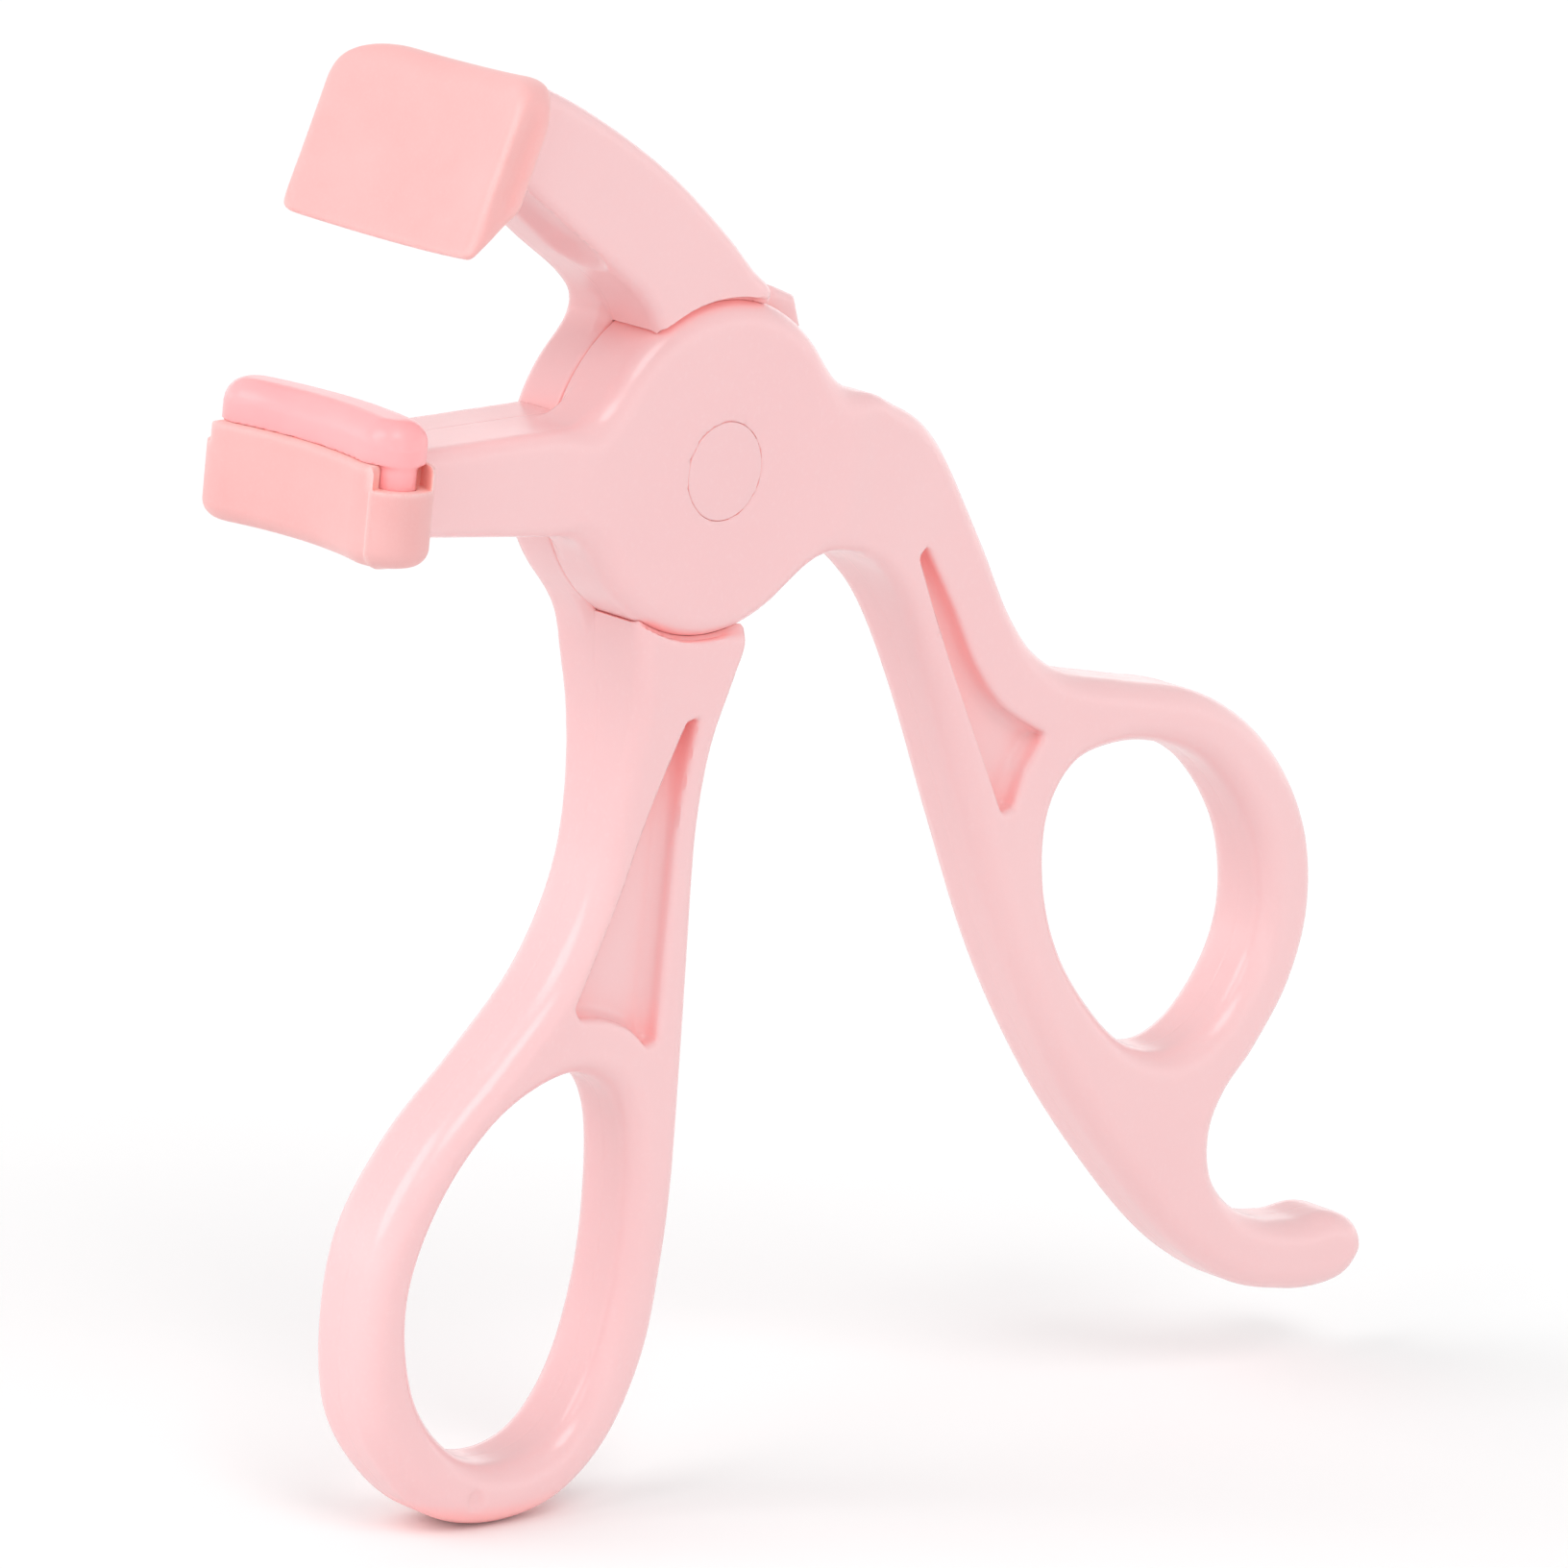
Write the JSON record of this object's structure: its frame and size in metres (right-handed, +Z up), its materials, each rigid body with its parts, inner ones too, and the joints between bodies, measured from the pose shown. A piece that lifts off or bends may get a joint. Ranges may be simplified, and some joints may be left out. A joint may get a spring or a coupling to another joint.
{
  "type": "eyelash curler",
  "caption": "Scissor-type plastic eyelash curler: two levers with finger rings cross at a round hub, a curved head presses on a silicone pad.",
  "frame": {"origin": "on the pivot axis, where the front and rear halves of the hub meet", "axes": "+Y along the pivot axis from front to back; -X from the hub to the jaws; +Z up, with the rings hanging down"},
  "size_m": [0.1172, 0.0202, 0.1047],
  "materials": {
    "front_lever": "semi-gloss pink plastic",
    "rear_lever": "semi-gloss pink plastic",
    "pivot_pin": "semi-gloss pink plastic",
    "pivot_cap": "semi-gloss pink plastic",
    "upper_press_head": "frosted pink plastic",
    "lower_pad_holder": "frosted pink plastic",
    "silicone_pad": "smooth pink silicone"
  },
  "bodies": {
    "front": {"front_lever": "front_lever", "lower_pad_holder": "lower_pad_holder", "silicone_pad": "silicone_pad", "pivot_pin": "pivot_pin", "pivot_cap": "pivot_cap"},
    "rear": {"rear_lever": "rear_lever", "upper_press_head": "upper_press_head"}
  },
  "joints": [
    {"name": "pivot", "type": "hinge", "parent": "front", "child": "rear", "pos_m": [0, 0, 0], "axis": [0, -1, 0], "range_deg": [-9.5, 19]}
  ]
}
